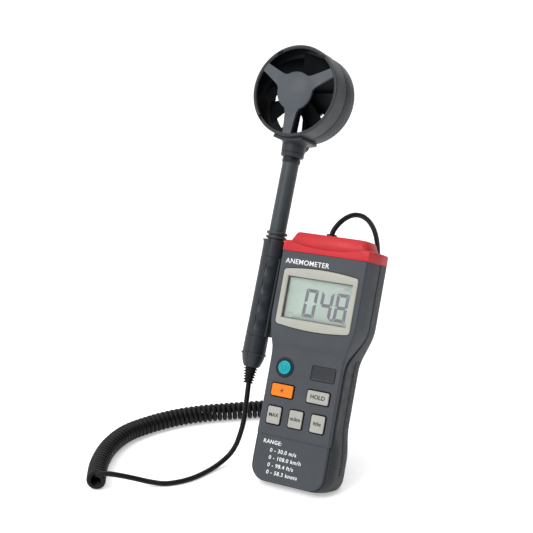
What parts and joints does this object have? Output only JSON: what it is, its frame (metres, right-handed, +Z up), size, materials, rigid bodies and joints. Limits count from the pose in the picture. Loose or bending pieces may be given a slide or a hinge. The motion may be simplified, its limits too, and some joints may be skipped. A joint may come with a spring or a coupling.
{
  "type": "vane anemometer",
  "caption": "Handheld air speed meter leaning on its tilt stand, with a vane head on a wand clipped at its side and a curly lead.",
  "frame": {"origin": "on the ground, at the middle of the flat heel under the case", "axes": "+Z up, -Y towards the reader of the display, +X to the reader's right"},
  "size_m": [0.1951, 0.2075, 0.3017],
  "materials": {
    "case_front": "fine moulded texture",
    "case_rear": "fine moulded texture",
    "cap_red": "satin moulded",
    "black_rubber": "soft matt",
    "grip_rubber": "ribbed matt",
    "clip_plastic": "satin moulded",
    "steel": "plated",
    "bezel_cream": "satin moulded",
    "window_clear": "clear polished",
    "lcd_glass": "reflective liquid crystal",
    "light_guide": "diffusing",
    "connector_rubber": "layered",
    "circuit_board": "solder mask",
    "chip_black": "moulded epoxy",
    "keypad_rubber": "soft matt",
    "black_plastic": "satin moulded",
    "plate_plastic": "satin moulded",
    "battery_jacket": "printed jacket",
    "key_teal": "satin moulded",
    "key_orange": "satin moulded",
    "key_cream": "satin moulded",
    "head_plastic": "satin moulded",
    "spider_plastic": "satin moulded",
    "stem_plastic": "satin moulded",
    "handle_plastic": "satin moulded",
    "rotor_plastic": "satin moulded",
    "magnet_metal": "sintered",
    "lead_jacket": "satin polyurethane"
  },
  "bodies": {
    "case": {"front_case": "case_front", "rear_case": "case_rear", "top_cap": "cap_red", "cable_gland": "black_rubber", "case_screws": "steel", "side_grips": "grip_rubber", "probe_clip": "clip_plastic", "lcd_bezel": "bezel_cream", "lcd_window": "window_clear", "lcd_panel": "lcd_glass", "lcd_backlight": "light_guide", "lcd_connectors": "connector_rubber", "main_board": "circuit_board", "board_chips": "chip_black", "keypad_mat": "keypad_rubber", "button_ring": "black_plastic", "name_plate": "plate_plastic", "battery": "battery_jacket", "battery_snap": "black_plastic", "cord_loop": "lead_jacket", "cord_curl": "lead_jacket", "cord_tail": "lead_jacket"},
    "power_button": {"power_button": "key_teal"},
    "light_key": {"light_key": "key_orange"},
    "hold_key": {"hold_key": "key_cream"},
    "mode_key": {"mode_key": "key_cream"},
    "metric_key": {"metric_key": "key_cream"},
    "imperial_key": {"imperial_key": "key_cream"},
    "stand": {"tilt_stand": "case_rear"},
    "door": {"battery_door": "case_rear"},
    "wand": {"head_ring_front": "head_plastic", "head_ring_rear": "head_plastic", "front_spider": "spider_plastic", "rear_spider": "spider_plastic", "front_bearing": "steel", "rear_bearing": "steel", "pickup_sensor": "black_plastic", "head_saddle": "head_plastic", "saddle_screw": "steel", "neck_collar": "head_plastic", "neck_ring": "black_plastic", "stem_tube": "stem_plastic", "stem_rings": "stem_plastic", "handle_left": "handle_plastic", "handle_right": "handle_plastic", "handle_screws": "steel", "signal_board": "circuit_board", "strain_relief": "black_rubber"},
    "rotor": {"rotor_hub": "rotor_plastic", "rotor_blades": "rotor_plastic", "rotor_shaft": "steel", "rotor_magnet": "magnet_metal"}
  },
  "joints": [
    {"name": "power_press", "type": "slide", "parent": "case", "child": "power_button", "axis": [0, 0.9348, -0.3551], "range_m": [0, 0.0008], "stiffness_N_per_m": 1500, "springref_m": -0.0004},
    {"name": "light_press", "type": "slide", "parent": "case", "child": "light_key", "axis": [0, 0.9348, -0.3551], "range_m": [0, 0.0008], "stiffness_N_per_m": 1500, "springref_m": -0.0004},
    {"name": "hold_press", "type": "slide", "parent": "case", "child": "hold_key", "axis": [0, 0.9348, -0.3551], "range_m": [0, 0.0008], "stiffness_N_per_m": 1500, "springref_m": -0.0004},
    {"name": "mode_press", "type": "slide", "parent": "case", "child": "mode_key", "axis": [0, 0.9348, -0.3551], "range_m": [0, 0.0008], "stiffness_N_per_m": 1500, "springref_m": -0.0004},
    {"name": "metric_press", "type": "slide", "parent": "case", "child": "metric_key", "axis": [0, 0.9348, -0.3551], "range_m": [0, 0.0008], "stiffness_N_per_m": 1500, "springref_m": -0.0004},
    {"name": "imperial_press", "type": "slide", "parent": "case", "child": "imperial_key", "axis": [0, 0.9348, -0.3551], "range_m": [0, 0.0008], "stiffness_N_per_m": 1500, "springref_m": -0.0004},
    {"name": "stand_fold", "type": "hinge", "parent": "case", "child": "stand", "pos_m": [0, 0.03136, 0.06593], "axis": [-1, 0, 0], "range_deg": [0, 32]},
    {"name": "door_swing", "type": "hinge", "parent": "case", "child": "door", "pos_m": [0, 0.03841, 0.08197], "axis": [-1, 0, 0], "range_deg": [0, 80]},
    {"name": "wand_release", "type": "slide", "parent": "case", "child": "wand", "axis": [-1, 0, 0], "range_m": [0, 0.045]},
    {"name": "rotor_spin", "type": "hinge", "parent": "wand", "child": "rotor", "pos_m": [-0.0483, 0.0916, 0.26395], "axis": [0, 0.9348, -0.3551], "continuous": true}
  ]
}
